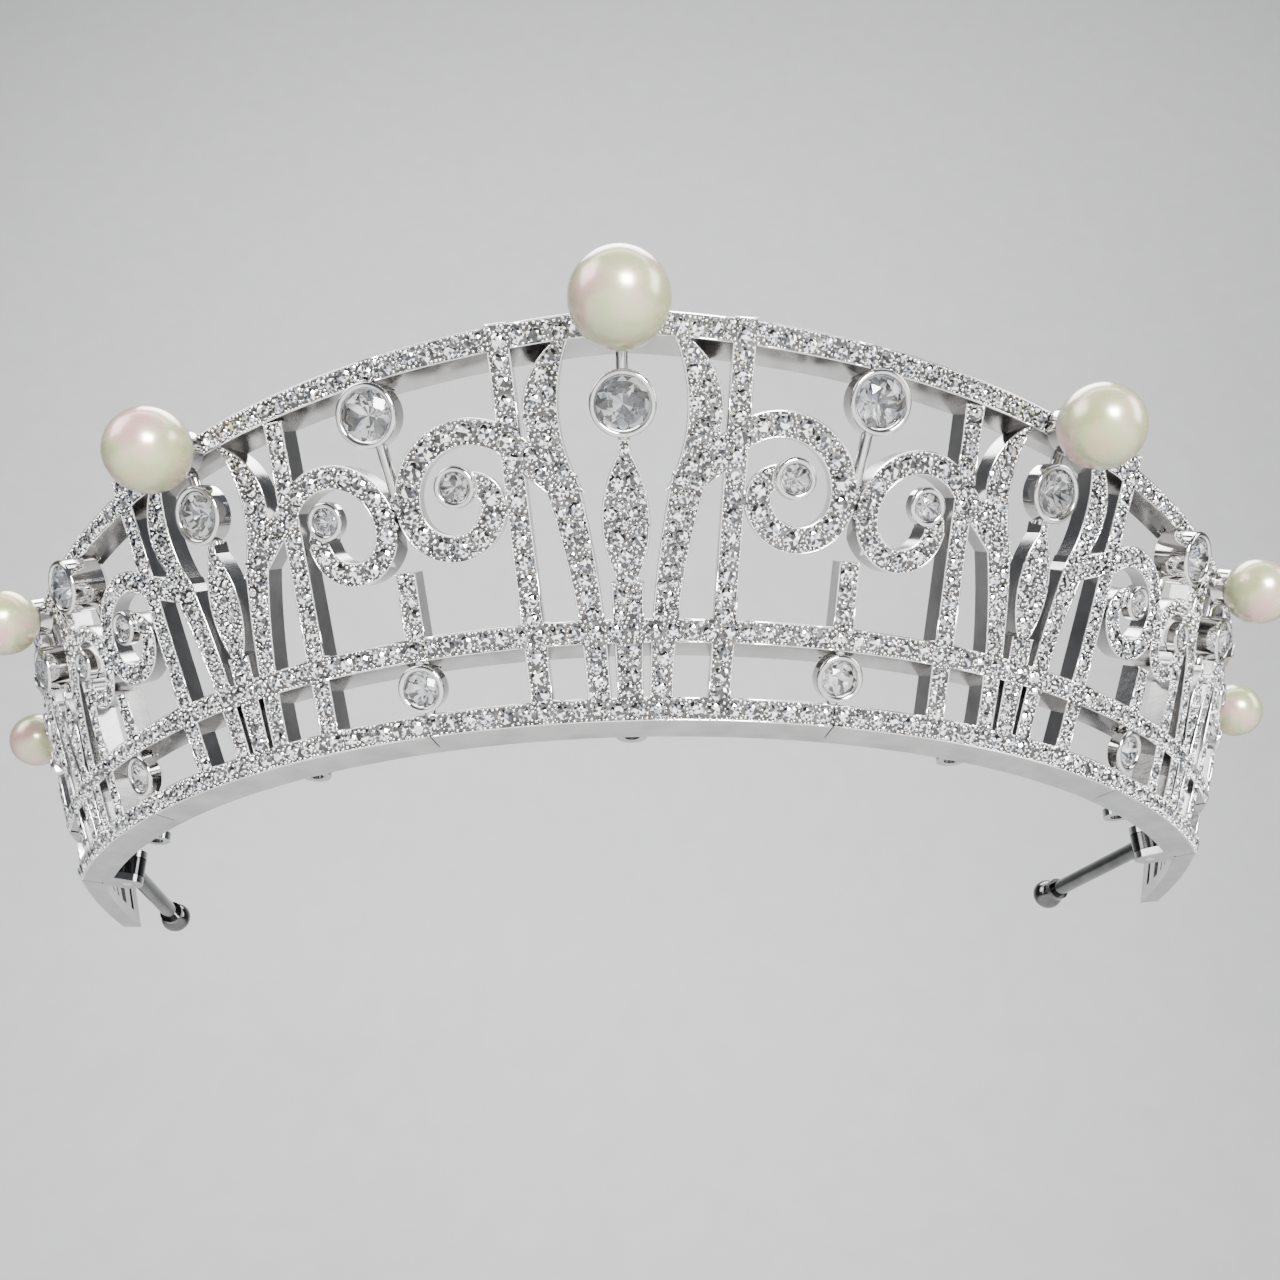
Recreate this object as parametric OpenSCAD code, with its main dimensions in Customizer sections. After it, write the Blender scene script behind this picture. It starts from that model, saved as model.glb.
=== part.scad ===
// Bridal tiara: seven openwork motif panels on a polished base band, with drop-set round stones,
// pearls on the top rail and a hinged polished arm at each end of the band.
// It stands on z = 0 with the origin under the middle of its bounding box, the front faces -Y,
// and left and right are as seen from the front.

/* [Frame] */
// Radius of the frame's cone where its axis crosses the base plane
cone_radius = 80; // [76:1:84]
// Forward lean of the cone's axis, degrees
cone_lean = 28.3; // [26:0.1:30]
// Flare of the cone about its own axis, degrees
cone_flare = 7.2; // [6.6:0.1:7.8]
// Depth of the cast panels, front to back
panel_depth = 2.2; // [2:0.1:2.6]
// Height of the top rail at the centre, above the base plane
frame_height = 30.6; // [30:0.2:31.4]
// Fall of the top rail to each side, per millimetre of width
rail_fall = 0.05; // [0.04:0.01:0.06]
// Vertical height of each rail
rail_height = 1.8; // [1.6:0.1:2]
// Height of the middle rail's underside
mid_rail_z = 6; // [5.8:0.1:6.2]
// Width of the straight uprights
strip_width = 2.1; // [1.9:0.1:2.3]

/* [Motifs] */
// Angle from the centre motif to the next one, degrees
first_step = 22.8; // [22.4:0.2:23.2]
// Angle from the first side motif to the second, degrees
second_step = 20.8; // [20.4:0.2:21.2]
// Angle from the second side motif to the end one, degrees
third_step = 16.4; // [16:0.2:16.8]
// Angle by which each end panel turns in towards the head, degrees
end_turn = 14; // [10:1:15]

/* [Settings] */
// Diameter of the centre drop stone
drop_stone_d = 4.9; // [4.6:0.1:5]
// Wall of a bezel setting
bezel_wall = 0.6; // [0.5:0.05:0.7]
// Diameter of the centre pearl
pearl_d = 9; // [8.6:0.1:9.2]
// Diameter of the pearl pegs
peg_d = 0.9; // [0.8:0.05:1]

/* [Back arms] */
// Diameter of the polished arm rod
arm_rod_d = 2; // [1.6:0.1:2]
// Length from the hinge pin to the ball's centre
arm_length = 22.8; // [20:0.2:24]
// Diameter of the ball end
arm_ball_d = 3.9; // [3.5:0.1:3.9]
// Diameter of the hinge pin
hinge_pin_d = 1.3; // [1.1:0.1:1.4]

/* [Hidden] */
$fn = 64;

silver = "gainsboro";
stone_white = "aliceblue";
pearl_white = "ivory";

// Motif angles from the centre outwards, and the seams between them
motif_angles = [0, first_step, first_step + second_step, first_step + second_step + third_step];
seam_share = [0.5, 0.56, 0.54];
seam_angles = [
    for (i = [0:2]) motif_angles[i] + seam_share[i] * (motif_angles[i + 1] - motif_angles[i])
];
end_angle = motif_angles[3] + 7;
// Size of each motif against the centre one
motif_scales = [1, 0.9, 0.83, 0.76];
spear_scales = [1, 0.9, 0.74, 0.68];
drop_heights = [29.2, 26.3, 22.3, 20.6];
// Where each motif's uprights stand, sideways from its centre line, at the base
upright_offsets = [8.1, 8.4, 6.7, 5.8];
upright_spread = 0.088;
// How far below the top of the rail the uprights end, at their motif's centre line
upright_stop = 0.8;
seam_gap = 0.04;
reach = 160;

// Radius of the frame's outer face from the vertical axis, at one angle and height
function lean_x(a) = cos(a) * sin(cone_lean);
function lean_z(h) = h * cos(cone_lean);
function frame_radius(a, h) =
    let (t = tan(cone_flare), p = lean_x(a), q = lean_z(h))
    let (qa = 1 - p * p * (1 + t * t))
    let (qb = -2 * p * q - 2 * t * p * (cone_radius + t * q))
    let (qc = h * h - q * q - pow(cone_radius + t * q, 2))
    (-qb + sqrt(qb * qb - 4 * qa * qc)) / (2 * qa);
// Outward lean of the frame's face at one angle
function face_lean(a) = atan((frame_radius(a, 20) - frame_radius(a, 0)) / 20);
// Height of the top rail at one angle, and the same measured up the sloping face
function top_z(a) = frame_height - rail_fall * frame_radius(a, frame_height) * sin(a);
function slope_height(a, z) = z / cos(face_lean(a));

module on_side(side) {
    if (side > 0) children();
    else mirror([1, 0, 0]) children();
}

// The frame on the sloping face: x runs sideways, y up the slope and z straight out of it
module on_face(a) {
    rotate([0, 0, a])
        translate([0, -frame_radius(a, 0), 0])
            rotate([90 + face_lean(a), 0, 0])
                children();
}

// Where a point of that flat face, moved n along its normal, stands from the vertical axis
function face_out(a, y, n) = frame_radius(a, 0) + y * sin(face_lean(a)) + n * cos(face_lean(a));
function face_height(a, y, n) = y * cos(face_lean(a)) - n * sin(face_lean(a));
function face_turn(a, x, y, n) = a + atan(x / face_out(a, y, n));
// How far along the normal the curved surface lies, found in a few steps
function face_depth(a, x, y, n = 0, steps = 5) =
    steps == 0 ? n
    : let (gap = frame_radius(face_turn(a, x, y, n), face_height(a, y, n)) - norm([x, face_out(a, y, n)]))
        face_depth(a, x, y, n + gap * cos(face_lean(a)), steps - 1);
// Turn of the surface's own normal away from the vertical axis
function face_skew(a, h) =
    atan((frame_radius(a - 1, h) - frame_radius(a + 1, h)) / (frame_radius(a, h) * PI / 90));

// A point of the flat face carried onto the curved surface, square to the surface there
module on_surface(a, x, y) {
    n = face_depth(a, x, y);
    h = face_height(a, y, n);
    b = face_turn(a, x, y, n);
    rotate([0, 0, b])
        translate([0, -frame_radius(b, h), h])
            rotate([0, 0, face_skew(b, h)])
                rotate([90 + face_lean(b), 0, 0])
                    children();
}

// The end panels turn in about an upright line at the last seam
module turned_in() {
    a = seam_angles[2];
    r = frame_radius(a, 0);
    translate([r * sin(a), -r * cos(a), 0])
        rotate([0, 0, end_turn])
            translate([-r * sin(a), r * cos(a), 0])
                children();
}

module as_motif(i) {
    if (i == 3) turned_in() children();
    else children();
}

// A slice of the hollow cone, between two depths behind its outer face
module cone_shell(front, back) {
    top = 100;
    spread = top * tan(cone_flare);
    rotate([cone_lean, 0, 0])
        rotate_extrude($fn = 180)
            polygon([
                [cone_radius - back, 0],
                [cone_radius - front, 0],
                [cone_radius - front + spread, top],
                [cone_radius - back + spread, top]
            ]);
}

module wedge(a0, a1, z0, z1) {
    translate([0, 0, z0])
        linear_extrude(z1 - z0)
            polygon([
                [0, 0],
                [reach * sin(a0), -reach * cos(a0)],
                [reach * sin(a1), -reach * cos(a1)]
            ]);
}

// The top rail lies between two shallow planes that fall away to each side
module top_rail_band() {
    z0 = frame_height - rail_height;
    drop = reach * rail_fall;
    rotate([90, 0, 0])
        linear_extrude(2 * reach, center = true)
            polygon([
                [0, frame_height], [reach, frame_height - drop], [reach, z0 - drop],
                [0, z0], [-reach, z0 - drop], [-reach, frame_height - drop]
            ]);
}

module flat_band(z0) {
    translate([-reach, -reach, z0])
        cube([2 * reach, 2 * reach, rail_height]);
}

// A straight strip between two points, with its own width at each end
module strip_2d(p, q, w0, w1) {
    d = q - p;
    n = [-d[1], d[0]] / norm(d);
    polygon([p + n * w0 / 2, q + n * w1 / 2, q - n * w1 / 2, p - n * w0 / 2]);
}

// A round band of a given width along an arc
module arc_2d(r, w, a0, a1) {
    far = r * 3;
    mid = (a0 + a1) / 2;
    intersection() {
        difference() {
            circle(r + w / 2);
            circle(r - w / 2);
        }
        polygon([
            [0, 0], [far * cos(a0), far * sin(a0)], [far * cos((a0 + mid) / 2), far * sin((a0 + mid) / 2)],
            [far * cos(mid), far * sin(mid)],
            [far * cos((a1 + mid) / 2), far * sin((a1 + mid) / 2)], [far * cos(a1), far * sin(a1)]
        ]);
    }
}

// The stem rises from the base, leans out and widens
stem_top = 23;
function stem_x(v) = 2.85 + 0.0061 * v * v;
function stem_w(v) = 2.15 + 0.0023 * v * v;
module stem_2d() {
    steps = [for (j = [0:8]) j * stem_top / 8];
    left = [for (v = steps) [stem_x(v) - stem_w(v) / 2, v]];
    right = [for (j = [8:-1:0]) [stem_x(steps[j]) + stem_w(steps[j]) / 2, steps[j]]];
    polygon(concat(left, right));
}

// The flame-shaped leaf that curves up from the stem to the top rail
module leaf_2d() {
    intersection() {
        difference() {
            translate([1.4, 28.7]) circle(7.75);
            translate([-9.9, 29.3]) circle(15.8);
        }
        translate([0, 21]) square([12, 15]);
    }
}

// The pointed blade in the middle of a motif, on its tapering shaft
module spear_2d() {
    intersection() {
        translate([-10, 18.6]) circle(12.2);
        translate([10, 18.6]) circle(12.2);
    }
    polygon([[-1.1, 0], [-1.5, 13], [1.5, 13], [1.1, 0]]);
    translate([-0.55, 23]) square([1.1, 3]);
}

// A scroll: a big arc that rolls into two smaller ones and ends at a small stone
scroll_big = 6.05;
scroll_mid = 4;
scroll_small = 2;
scroll_turn = -20;
scroll_start = 125;
scroll_band = 2.5;
scroll_shift = [
    (scroll_big - scroll_mid) * cos(scroll_turn),
    (scroll_big - scroll_mid) * sin(scroll_turn)
];
scroll_curl = scroll_shift + [scroll_small - scroll_mid, 0];
eye_reach = 2.3;
// Centre of the small stone that ends a scroll, which stands at its own angle round the curl
function scroll_eye(scroll) =
    [scroll[0], scroll[1]]
    + scroll[2] * (scroll_curl + eye_reach * [cos(scroll[3]), sin(scroll[3])]);
module scroll_2d(eye_angle) {
    arc_2d(scroll_big, scroll_band, scroll_turn, 60);
    arc_2d(scroll_big, scroll_band, 60, scroll_start);
    translate(scroll_shift) {
        arc_2d(scroll_mid, scroll_band, -180, -100);
        arc_2d(scroll_mid, scroll_band, -100, scroll_turn);
    }
    translate(scroll_curl)
        arc_2d(scroll_small, 0.9 * scroll_band, eye_angle + 12, 180);
}

// Scroll places for each motif: towards the centre, then away from it, as [x, y, size, eye angle]
scroll_in = [[14.2, 21, 1, 50], [14.8, 20.8, 0.9, 98], [10.4, 18.2, 0.75, 98], [8.2, 16.3, 0.5, 50]];
scroll_out = [[14.2, 21, 1, 50], [14.3, 16.8, 0.9, 45], [9.8, 17.2, 0.7, 50]];

// One side of a motif: upright, stem, leaf and scroll
module half_motif_2d(i, scroll) {
    k = motif_scales[i];
    x0 = upright_offsets[i];
    v1 = slope_height(motif_angles[i], top_z(motif_angles[i]) - upright_stop);
    strip_2d([x0, 0], [x0 + upright_spread * v1, v1], strip_width, strip_width);
    scale(k) {
        stem_2d();
        leaf_2d();
    }
    if (len(scroll) > 0) {
        s = scroll[2];
        joint = [scroll[0], scroll[1]] + s * scroll_big * [cos(scroll_start), sin(scroll_start)];
        strip_2d(k * [5.2, 21.6], joint, 1.2 * scroll_band * k, scroll_band * s);
        translate([scroll[0], scroll[1]])
            scale(s)
                scroll_2d(scroll[3]);
    }
}

module motif_2d(i) {
    scale(spear_scales[i]) spear_2d();
    half_motif_2d(i, i == 3 ? [] : scroll_out[i]);
    mirror([1, 0]) half_motif_2d(i, scroll_in[i]);
}

// The short post that stands on the middle rail at a seam
module seam_post(s) {
    a = seam_angles[s];
    v = slope_height(a, mid_rail_z + 1);
    on_face(a)
        translate([-strip_width / 2, v, -6])
            linear_extrude(10)
                square([strip_width - seam_gap, (s == 0 ? 7.2 : 5.6)]);
}

// A cast panel, cut at its seams and bored for the settings soldered into it
module panel(i) {
    a0 = i == 0 ? -seam_angles[0] + seam_gap : seam_angles[i - 1] + seam_gap;
    a1 = i == 3 ? end_angle : seam_angles[i] - seam_gap;
    color(silver)
        difference() {
            intersection() {
                wedge(i == 3 ? a0 : a0 - 1, i == 3 ? 110 : a1 + 1, -2, 60);
                as_motif(i)
                    intersection() {
                        cone_shell(0, panel_depth);
                        wedge(a0, a1, 0, 50);
                        union() {
                            flat_band(0);
                            flat_band(mid_rail_z);
                            top_rail_band();
                            on_face(motif_angles[i])
                                translate([0, 0, -9])
                                    linear_extrude(13)
                                        motif_2d(i);
                            if (i < 3) seam_post(i);
                            if (i == 0) mirror([1, 0, 0]) seam_post(0);
                            if (i > 0) seam_post(i - 1);
                            if (i == 3) end_post();
                        }
                    }
            }
            panel_seats(i);
            if (i == 0) mirror([1, 0, 0]) panel_seats(0);
        }
}

// Everything that is let into one panel
module panel_seats(i) {
    cup_space(i);
    drop_rods(i);
    on_motif(i, 0, drop_y(i))
        translate([0, 0, drop_rim(i)]) bezel_space(drop_size(i), drop_depth(i));
    at_eye(i, scroll_in[i], -1) bezel_space(eye_size(scroll_in[i][2]), eye_depth);
    if (i < 3) at_eye(i, scroll_out[i], 1) bezel_space(eye_size(scroll_out[i][2]), eye_depth);
    for (s = [i - 1, i])
        if (s == 0 || s == 1) {
            crest_space(s);
            foot_space(s);
        }
}

// The upright that closes the free end of an end panel
module end_post() {
    a = end_angle;
    on_face(a)
        translate([-strip_width, 0, -6])
            linear_extrude(10)
                square([strip_width, slope_height(a, top_z(a) - 1)]);
}

stone_play = 0.03;

bezel_taper = 0.7;
bezel_draw = 0.8;

// A round bezel: a rolled rim at z = 0, a straight wall and a back drawn in under the stone
module bezel(stone_d, depth) {
    rs = stone_d / 2 + stone_play;
    ro = rs + bezel_wall;
    rotate_extrude($fn = 64) {
        polygon([
            [rs, -bezel_wall / 2], [ro, -bezel_wall / 2], [ro, bezel_taper - depth],
            [ro - bezel_draw, -depth], [rs - bezel_draw, -depth], [rs, -0.35 - 0.06 * stone_d]
        ]);
        translate([ro - bezel_wall / 2, -bezel_wall / 2]) circle(bezel_wall / 2, $fn = 32);
    }
}

// The room that a bezel takes up
module bezel_space(stone_d, depth) {
    translate([0, 0, -depth]) cylinder(h = depth + 2, r = stone_d / 2 + stone_play + bezel_wall);
}

// A round stone with a table, crown and pointed pavilion, rim at z = 0
module stone(d) {
    r = d / 2;
    translate([0, 0, -bezel_wall / 2])
        rotate_extrude($fn = 64)
            polygon([
                [0, -0.4 * d], [r * 0.96, -0.03 * d], [r, -0.02 * d], [r, 0],
                [0.58 * r, 0.12 * d], [0, 0.12 * d]
            ]);
}

function drop_size(i) = drop_stone_d * (i == 0 ? 1 : i == 1 ? 0.96 : i == 2 ? 0.86 : 0.8);
function drop_y(i) = drop_heights[i];
function drop_rim(i) = i == 2 ? 1.8 : 0.9;
function drop_depth(i) = drop_rim(i) + 1.6;
rod_d = 1.1;
rod_depth = -0.6;

module on_motif(i, x, y) {
    as_motif(i)
        on_surface(motif_angles[i], x, y)
            children();
}

// The rod from a drop setting up into the top rail and the neck down into the blade
module drop_rods(i) {
    a = motif_angles[i];
    y = drop_y(i);
    ro = drop_size(i) / 2 + stone_play + bezel_wall;
    y_top = slope_height(a, top_z(a) - rail_height) + 0.3;
    y_blade = 25.6 * spear_scales[i];
    on_motif(i, 0, y)
        translate([0, 0, rod_depth])
            rotate([-90, 0, 0]) {
                translate([0, 0, ro - 0.25]) cylinder(h = y_top - y - ro + 0.25, d = rod_d);
                translate([0, 0, y_blade - y]) cylinder(h = y - ro + 0.25 - y_blade, d = rod_d);
            }
}

module drop_setting(i) {
    color(silver) {
        on_motif(i, 0, drop_y(i))
            translate([0, 0, drop_rim(i)]) bezel(drop_size(i), drop_depth(i));
        difference() {
            drop_rods(i);
            cup_space(i);
        }
    }
}

module drop_stone(i) {
    color(stone_white)
        on_motif(i, 0, drop_y(i))
            translate([0, 0, drop_rim(i)]) stone(drop_size(i));
}

// Crest settings hang under the top rail at the seams, on a leaning rod
function crest_size(s) = s == 0 ? 4.9 : 4.7;
function crest_y(s) =
    slope_height(seam_angles[s], top_z(seam_angles[s]) - rail_height) - crest_size(s) / 2 - bezel_wall + 0.1;
crest_x = 1.05;
function crest_rim(s) = s == 0 ? 0.9 : 2.8;
function crest_depth(s) = crest_rim(s) + 1.6;
function crest_reach(s) = s == 0 ? 9.6 : 8.6;
crest_foot_x = 0.35;

module at_crest(s) {
    on_surface(seam_angles[s], crest_x, crest_y(s))
        children();
}

// The leaning rod runs from the scrolls at the seam up to the crest setting
module crest_rod(s) {
    ro = crest_size(s) / 2 + stone_play + bezel_wall;
    foot = [crest_foot_x - crest_x, -crest_reach(s)];
    head = [-crest_x / 4, 0.3 - ro];
    tilt = atan((head[0] - foot[0]) / (head[1] - foot[1]));
    at_crest(s)
        translate([foot[0], foot[1], rod_depth])
            rotate([-90, 0, -tilt]) cylinder(h = norm(head - foot), d = rod_d);
}

module crest_space(s) {
    at_crest(s)
        translate([0, 0, crest_rim(s)]) bezel_space(crest_size(s), crest_depth(s));
    crest_rod(s);
}

module crest_setting(s) {
    color(silver) {
        at_crest(s)
            translate([0, 0, crest_rim(s)]) bezel(crest_size(s), crest_depth(s));
        crest_rod(s);
    }
}

module crest_stones() {
    color(stone_white)
        for (side = [-1, 1], s = [0, 1])
            on_side(side)
                at_crest(s)
                    translate([0, 0, crest_rim(s)]) stone(crest_size(s));
}

// Foot settings stand between the bottom and middle rails at the seams
function foot_size(s) = s == 0 ? 3.4 : 3.3;
function foot_y(s) = slope_height(seam_angles[s], (mid_rail_z + rail_height) / 2);
foot_rim = 0.7;
foot_depth = 2.1;

module at_foot(s) {
    on_surface(seam_angles[s], 0, foot_y(s))
        children();
}

// Short rods hold a foot setting to the rails above and below it
module foot_rods(s) {
    ro = foot_size(s) / 2 + stone_play + bezel_wall;
    gap = slope_height(seam_angles[s], mid_rail_z - rail_height) / 2;
    at_foot(s)
        for (up = [-1, 1])
            translate([0, up * (ro - 0.2), rod_depth])
                rotate([-90 * up, 0, 0]) cylinder(h = gap - ro + 0.5, d = rod_d);
}

module foot_space(s) {
    at_foot(s)
        translate([0, 0, foot_rim]) bezel_space(foot_size(s), foot_depth);
    foot_rods(s);
}

module foot_settings() {
    color(silver)
        for (side = [-1, 1], s = [0, 1])
            on_side(side) {
                at_foot(s)
                    translate([0, 0, foot_rim]) bezel(foot_size(s), foot_depth);
                foot_rods(s);
            }
}

module foot_stones() {
    color(stone_white)
        for (side = [-1, 1], s = [0, 1])
            on_side(side)
                at_foot(s)
                    translate([0, 0, foot_rim]) stone(foot_size(s));
}

// The small settings at the ends of the scrolls
function eye_size(s) = 2.7 * (0.35 + 0.65 * s);
eye_rim = 0.7;
eye_depth = 1.8;

module at_eye(i, scroll, flip) {
    eye = scroll_eye(scroll);
    on_motif(i, flip * eye[0], eye[1])
        translate([0, 0, eye_rim])
            children();
}

module scroll_settings() {
    color(silver)
        for (side = [-1, 1], i = [0:3])
            on_side(side) {
                if (i > 0) at_eye(i, scroll_in[i], -1) bezel(eye_size(scroll_in[i][2]), eye_depth);
                if (i < 3) at_eye(i, scroll_out[i], 1) bezel(eye_size(scroll_out[i][2]), eye_depth);
            }
}

module scroll_stones() {
    color(stone_white)
        for (side = [-1, 1], i = [0:3])
            on_side(side) {
                if (i > 0) at_eye(i, scroll_in[i], -1) stone(eye_size(scroll_in[i][2]));
                if (i < 3) at_eye(i, scroll_out[i], 1) stone(eye_size(scroll_out[i][2]));
            }
}

// Pearls stand out from the top rail, each in a cup on a post with a peg up its drilled hole
pearl_shares = [1, 0.93, 0.85, 0.8];
pearl_dip = [20, 29, 30, 38];
pearl_reach = [5.3, 5.6, 4.8, 4.5];
function pearl_size(i) = pearl_d * pearl_shares[i];
function cup_r(i) = 0.29 * pearl_size(i);
cup_wall = 0.8;
cup_rise = 0.9;
post_r = 0.8;
peg_fit = 0.05;
peg_hold = 0.9;
peg_up = 3.5;

module on_rail(i) {
    a = motif_angles[i];
    z = top_z(a) - rail_height / 2 - (i == 3 ? 0.2 : 0);
    as_motif(i)
        rotate([0, 0, a])
            translate([0, -frame_radius(a, z), z])
                rotate([90 + pearl_dip[i], 0, 0])
                    children();
}

module pearl(i) {
    r = pearl_size(i) / 2;
    color(pearl_white)
        on_rail(i)
            translate([0, 0, pearl_reach[i]])
                difference() {
                    sphere(r, $fn = 96);
                    translate([0, 0, -r - 1])
                        cylinder(h = peg_up + 1.5, d = peg_d + 2 * peg_fit);
                }
}

module pearl_cup(i) {
    r = pearl_size(i) / 2;
    back = pearl_reach[i] - r - cup_wall;
    color(silver)
        on_rail(i) {
            difference() {
                union() {
                    translate([0, 0, back]) cylinder(h = cup_wall + cup_rise, r = cup_r(i));
                    translate([0, 0, -peg_hold]) cylinder(h = back + peg_hold + 0.1, r = post_r);
                }
                translate([0, 0, pearl_reach[i]]) sphere(r + 0.02, $fn = 96);
            }
            translate([0, 0, back + 0.1]) cylinder(h = cup_wall + peg_up, d = peg_d);
        }
}

// The room that a cup and its post take up in the rail
module cup_space(i) {
    back = pearl_reach[i] - pearl_size(i) / 2 - cup_wall;
    on_rail(i) {
        translate([0, 0, back]) cylinder(h = cup_wall + cup_rise, r = cup_r(i));
        translate([0, 0, -peg_hold]) cylinder(h = peg_hold + 3, r = post_r);
    }
}

// The polished band behind the bottom rail, with a hinge lug at each end
band_depth = 0.9;
band_height = 2.6;
band_end = 51.7;
hinge_angle = 51.6;
hinge_inset = 5.4;
hinge_radius = frame_radius(hinge_angle, 0) - hinge_inset;
lug_r = 1.8;
lug_t = 0.9;
lug_gap = 2.3;
hinge_top = 2 * lug_t + lug_gap;
lug_play = 0.1;
pin_fit = 0.05;

module at_hinge() {
    rotate([0, 0, hinge_angle])
        translate([0, -hinge_radius, 0])
            children();
}

// Two ears reach in from the band, with a bored round end each
module hinge_lug() {
    difference() {
        at_hinge()
            difference() {
                union() {
                    for (z = [0, lug_t + lug_gap])
                        translate([0, 0, z]) {
                            cylinder(h = lug_t, r = lug_r);
                            translate([-lug_r, -hinge_inset, 0]) cube([2 * lug_r, hinge_inset, lug_t]);
                        }
                    translate([-lug_r, -hinge_inset, 0])
                        cube([2 * lug_r, hinge_inset - lug_r - 0.4, hinge_top]);
                }
                translate([0, 0, -1]) cylinder(h = 8, d = hinge_pin_d + 2 * pin_fit);
            }
        cone_shell(-9, panel_depth);
        turned_in() cone_shell(-9, panel_depth);
    }
}

module base_band() {
    color(silver) {
        difference() {
            intersection() {
                cone_shell(panel_depth, panel_depth + band_depth);
                wedge(-band_end, band_end, 0, band_height);
            }
            for (side = [-1, 1])
                on_side(side) turned_in() cone_shell(0, panel_depth);
        }
        for (side = [-1, 1])
            on_side(side) hinge_lug();
    }
}

// Small loops inside the band for sewing on a ribbon
loop_angles = [0, 21, 40];
loop_hole_r = 0.75;
loop_clear = 0.1;
module sewing_loop(a) {
    r = frame_radius(a, 0) - (panel_depth + band_depth) / cos(face_lean(a));
    difference() {
        rotate([0, 0, a])
            translate([0, loop_hole_r + loop_clear - r, 0.4])
                difference() {
                    cylinder(h = 0.9, r = 1.5);
                    translate([0, 0, -1]) cylinder(h = 3, r = loop_hole_r);
                }
        cone_shell(0, panel_depth + band_depth);
    }
}

module sewing_loops() {
    color(silver) {
        for (a = loop_angles) sewing_loop(a);
        for (j = [1:2])
            mirror([1, 0, 0]) sewing_loop(loop_angles[j]);
    }
}

// Each back arm swings on an upright pin and ends in a ball
arm_rest_left = 34;
arm_rest_right = 55.5;
arm_z = lug_t + lug_gap / 2;
arm_collar_d = 2.9;
arm_collar_t = 0.9;

module back_arm(rest) {
    color(silver)
        at_hinge()
            rotate([0, 0, rest])
                difference() {
                    union() {
                        translate([0, 0, lug_t + lug_play])
                            cylinder(h = lug_gap - 2 * lug_play, r = lug_r);
                        translate([0, 0, arm_z])
                            rotate([0, 90, 0]) {
                                cylinder(h = arm_length, d = arm_rod_d);
                                translate([0, 0, arm_length - arm_ball_d / 2 - arm_collar_t])
                                    cylinder(h = arm_collar_t, d = arm_collar_d);
                            }
                        translate([arm_length, 0, arm_z]) sphere(d = arm_ball_d);
                    }
                    translate([0, 0, -1]) cylinder(h = 8, d = hinge_pin_d + 2 * pin_fit);
                }
}

module hinge_pin() {
    color(silver)
        at_hinge() {
            cylinder(h = hinge_top + 0.2, d = hinge_pin_d);
            translate([0, 0, hinge_top + 0.02]) cylinder(h = 0.5, d = hinge_pin_d + 0.8);
        }
}

// The modules above measure from the head's own axis, so the whole part moves back to its middle
front_y = -frame_radius(0, frame_height - rail_height / 2)
    - pearl_reach[0] * cos(pearl_dip[0]) - pearl_size(0) / 2;
back_y = arm_length * sin(hinge_angle + arm_rest_left) - hinge_radius * cos(hinge_angle)
    + arm_ball_d / 2;
module standing() {
    translate([0, -(front_y + back_y) / 2, 0])
        children();
}

standing() base_band();
standing() sewing_loops();

standing() panel(0);  // panel_centre
standing() on_side(-1) panel(1);  // panel_left_1
standing() on_side(1) panel(1);  // panel_right_1
standing() on_side(-1) panel(2);  // panel_left_2
standing() on_side(1) panel(2);  // panel_right_2
standing() on_side(-1) panel(3);  // panel_left_3
standing() on_side(1) panel(3);  // panel_right_3

standing() pearl(0);  // pearl_centre
standing() on_side(-1) pearl(1);  // pearl_left_1
standing() on_side(1) pearl(1);  // pearl_right_1
standing() on_side(-1) pearl(2);  // pearl_left_2
standing() on_side(1) pearl(2);  // pearl_right_2
standing() on_side(-1) pearl(3);  // pearl_left_3
standing() on_side(1) pearl(3);  // pearl_right_3

standing() pearl_cup(0);  // pearl_cup_centre
standing() on_side(-1) pearl_cup(1);  // pearl_cup_left_1
standing() on_side(1) pearl_cup(1);  // pearl_cup_right_1
standing() on_side(-1) pearl_cup(2);  // pearl_cup_left_2
standing() on_side(1) pearl_cup(2);  // pearl_cup_right_2
standing() on_side(-1) pearl_cup(3);  // pearl_cup_left_3
standing() on_side(1) pearl_cup(3);  // pearl_cup_right_3

standing() drop_setting(0);  // drop_setting_centre
standing() on_side(-1) drop_setting(1);  // drop_setting_left_1
standing() on_side(1) drop_setting(1);  // drop_setting_right_1
standing() on_side(-1) drop_setting(2);  // drop_setting_left_2
standing() on_side(1) drop_setting(2);  // drop_setting_right_2
standing() on_side(-1) drop_setting(3);  // drop_setting_left_3
standing() on_side(1) drop_setting(3);  // drop_setting_right_3

standing() drop_stone(0);  // drop_stone_centre
standing() on_side(-1) drop_stone(1);  // drop_stone_left_1
standing() on_side(1) drop_stone(1);  // drop_stone_right_1
standing() on_side(-1) drop_stone(2);  // drop_stone_left_2
standing() on_side(1) drop_stone(2);  // drop_stone_right_2
standing() on_side(-1) drop_stone(3);  // drop_stone_left_3
standing() on_side(1) drop_stone(3);  // drop_stone_right_3

standing() on_side(-1) crest_setting(0);  // crest_setting_left_1
standing() on_side(1) crest_setting(0);  // crest_setting_right_1
standing() on_side(-1) crest_setting(1);  // crest_setting_left_2
standing() on_side(1) crest_setting(1);  // crest_setting_right_2

standing() crest_stones();
standing() scroll_settings();
standing() scroll_stones();
standing() foot_settings();
standing() foot_stones();

standing() on_side(-1) back_arm(arm_rest_left);  // back_arm_left
standing() on_side(1) back_arm(arm_rest_right);  // back_arm_right
standing() on_side(-1) hinge_pin();  // hinge_pin_left
standing() on_side(1) hinge_pin();  // hinge_pin_right
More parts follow.
